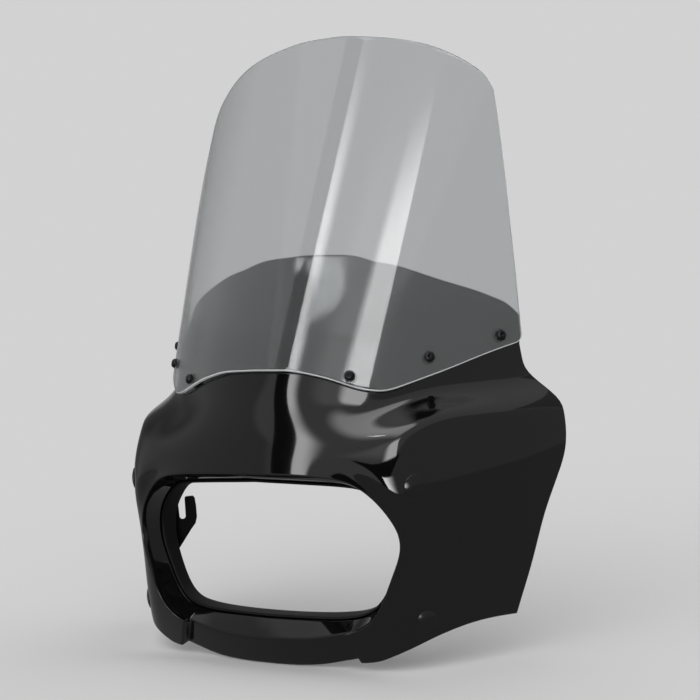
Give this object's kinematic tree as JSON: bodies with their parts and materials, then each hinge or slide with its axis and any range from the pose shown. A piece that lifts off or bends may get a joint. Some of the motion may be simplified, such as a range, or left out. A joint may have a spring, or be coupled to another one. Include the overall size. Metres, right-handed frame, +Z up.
{
  "type": "motorcycle fairing",
  "caption": "Half fairing for a motorcycle: gloss black moulded shell with a wide rounded headlight opening, swept side wings and a tall raked clear windshield screwed along its foot.",
  "frame": {"origin": "bottom middle of the box round the whole fairing, with the face of the headlight opening upright", "axes": "+X across to the left of a rider (right in a view from the front), +Y rearward toward the rider, +Z up"},
  "size_m": [0.5576, 0.2584, 0.6629],
  "materials": {
    "shell_plastic": "gloss black",
    "clear_acrylic": "clear with a faint grey tint, polished edges",
    "black_rubber": "matt black",
    "plate_steel": "satin black",
    "bolt_steel": "black, semi-gloss",
    "black_nylon": "matt black"
  },
  "bodies": {
    "root": {"fairing_shell": "shell_plastic", "windshield": "clear_acrylic", "opening_edge_trim": "black_rubber", "mounting_plate_left": "plate_steel", "mounting_plate_right": "plate_steel", "plate_bolt_left_upper": "bolt_steel", "plate_spacer_left_upper": "black_rubber", "plate_nut_left_upper": "plate_steel", "plate_bolt_left_lower": "bolt_steel", "plate_spacer_left_lower": "black_rubber", "plate_nut_left_lower": "plate_steel", "windshield_screw_left_1": "bolt_steel", "windshield_washer_left_1": "black_nylon", "well_nut_left_1": "black_rubber", "windshield_screw_left_2": "bolt_steel", "windshield_washer_left_2": "black_nylon", "well_nut_left_2": "black_rubber", "windshield_screw_left_3": "bolt_steel", "windshield_washer_left_3": "black_nylon", "well_nut_left_3": "black_rubber", "plate_bolt_right_upper": "bolt_steel", "plate_spacer_right_upper": "black_rubber", "plate_nut_right_upper": "plate_steel", "plate_bolt_right_lower": "bolt_steel", "plate_spacer_right_lower": "black_rubber", "plate_nut_right_lower": "plate_steel", "windshield_screw_right_1": "bolt_steel", "windshield_washer_right_1": "black_nylon", "well_nut_right_1": "black_rubber", "windshield_screw_right_2": "bolt_steel", "windshield_washer_right_2": "black_nylon", "well_nut_right_2": "black_rubber", "windshield_screw_right_3": "bolt_steel", "windshield_washer_right_3": "black_nylon", "well_nut_right_3": "black_rubber"}
  },
  "joints": []
}
